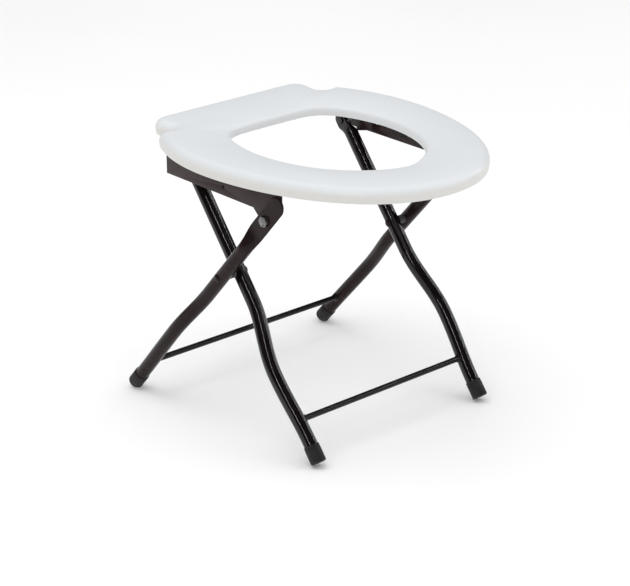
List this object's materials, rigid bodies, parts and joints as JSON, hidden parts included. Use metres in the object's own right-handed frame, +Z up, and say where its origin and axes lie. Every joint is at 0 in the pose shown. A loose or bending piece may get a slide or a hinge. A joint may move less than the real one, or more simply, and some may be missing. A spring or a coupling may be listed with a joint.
{
  "type": "folding commode stool",
  "caption": "Folding camp toilet stool: open moulded seat ring with a rear tab on two crossed tubular steel leg frames with crossbars and rubber feet.",
  "frame": {"origin": "on the floor under the middle of the seat's bounding box", "axes": "+X to the seat's nose, +Y to the sitter's left, +Z up"},
  "size_m": [0.4474, 0.381, 0.3799],
  "materials": {
    "seat_plastic": "satin moulded white",
    "black_steel": "semi-gloss black powder coat",
    "foot_rubber": "matt",
    "zinc_hardware": "dull zinc plate",
    "nylon": "matt"
  },
  "bodies": {
    "rear_leg_frame": {"right_rear_leg": "black_steel", "left_rear_leg": "black_steel", "rear_crossbar": "black_steel", "right_rear_foot_cap": "foot_rubber", "left_rear_foot_cap": "foot_rubber", "right_pivot_bolt": "zinc_hardware", "left_pivot_bolt": "zinc_hardware", "right_pivot_nut": "zinc_hardware", "left_pivot_nut": "zinc_hardware", "right_pivot_washer": "zinc_hardware", "left_pivot_washer": "zinc_hardware", "right_pivot_spacer": "nylon", "left_pivot_spacer": "nylon", "right_cross_rivet": "black_steel", "left_cross_rivet": "black_steel", "right_cross_spacer": "nylon", "left_cross_spacer": "nylon"},
    "front_leg_frame": {"right_front_leg": "black_steel", "left_front_leg": "black_steel", "front_crossbar": "black_steel", "right_front_foot_cap": "foot_rubber", "left_front_foot_cap": "foot_rubber", "right_latch_pin": "black_steel", "left_latch_pin": "black_steel"},
    "seat": {"seat_ring": "seat_plastic", "right_rail": "black_steel", "left_rail": "black_steel", "right_latch_hook": "black_steel", "left_latch_hook": "black_steel", "right_rail_screws": "zinc_hardware", "left_rail_screws": "zinc_hardware", "right_rail_plug": "nylon", "left_rail_plug": "nylon"}
  },
  "joints": [
    {"name": "seat_fold", "type": "hinge", "parent": "rear_leg_frame", "child": "seat", "pos_m": [0.05491, 0, 0.31738], "axis": [0, 1, 0], "range_deg": [0, 128]},
    {"name": "leg_fold", "type": "hinge", "parent": "rear_leg_frame", "child": "front_leg_frame", "pos_m": [-0.02837, 0, 0.21794], "axis": [0, 1, 0], "range_deg": [0, 74]}
  ],
  "couplings": [
    {"joint": "leg_fold", "follows": "seat_fold", "ratio": 0.5725}
  ]
}
